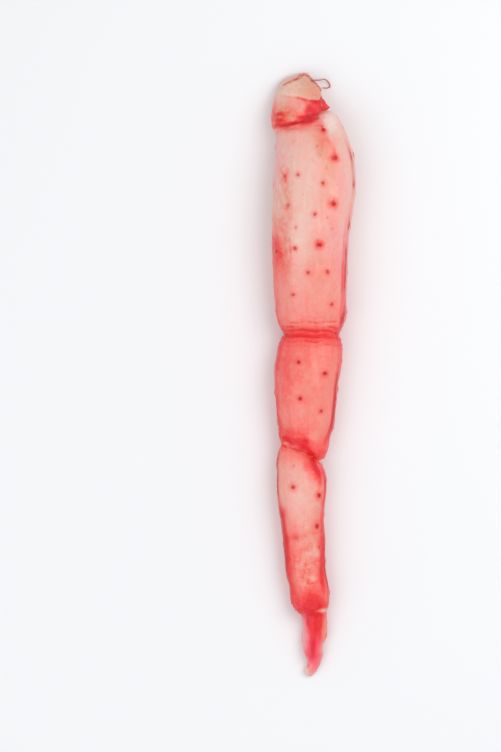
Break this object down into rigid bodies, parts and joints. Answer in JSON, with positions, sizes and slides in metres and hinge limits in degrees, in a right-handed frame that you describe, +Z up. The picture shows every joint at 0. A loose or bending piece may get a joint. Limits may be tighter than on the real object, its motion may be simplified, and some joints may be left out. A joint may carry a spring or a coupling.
{
  "type": "king crab leg",
  "caption": "Raw king crab leg without its shell: one long piece of meat, thick at the body end, with folds at its joints and a blunt tip, lying flat.",
  "frame": {"origin": "middle of the leg's outline, on the surface that it lies on", "axes": "+Z up, +Y along the leg towards its torn body end, +X to the right of the shown side"},
  "size_m": [0.049, 0.35, 0.0341],
  "materials": {
    "raw_flesh": "wet raw meat, cream to pink on top with red spots, redder on the flanks and at the joints"
  },
  "bodies": {
    "root": {"king_crab_leg": "raw_flesh"}
  },
  "joints": []
}
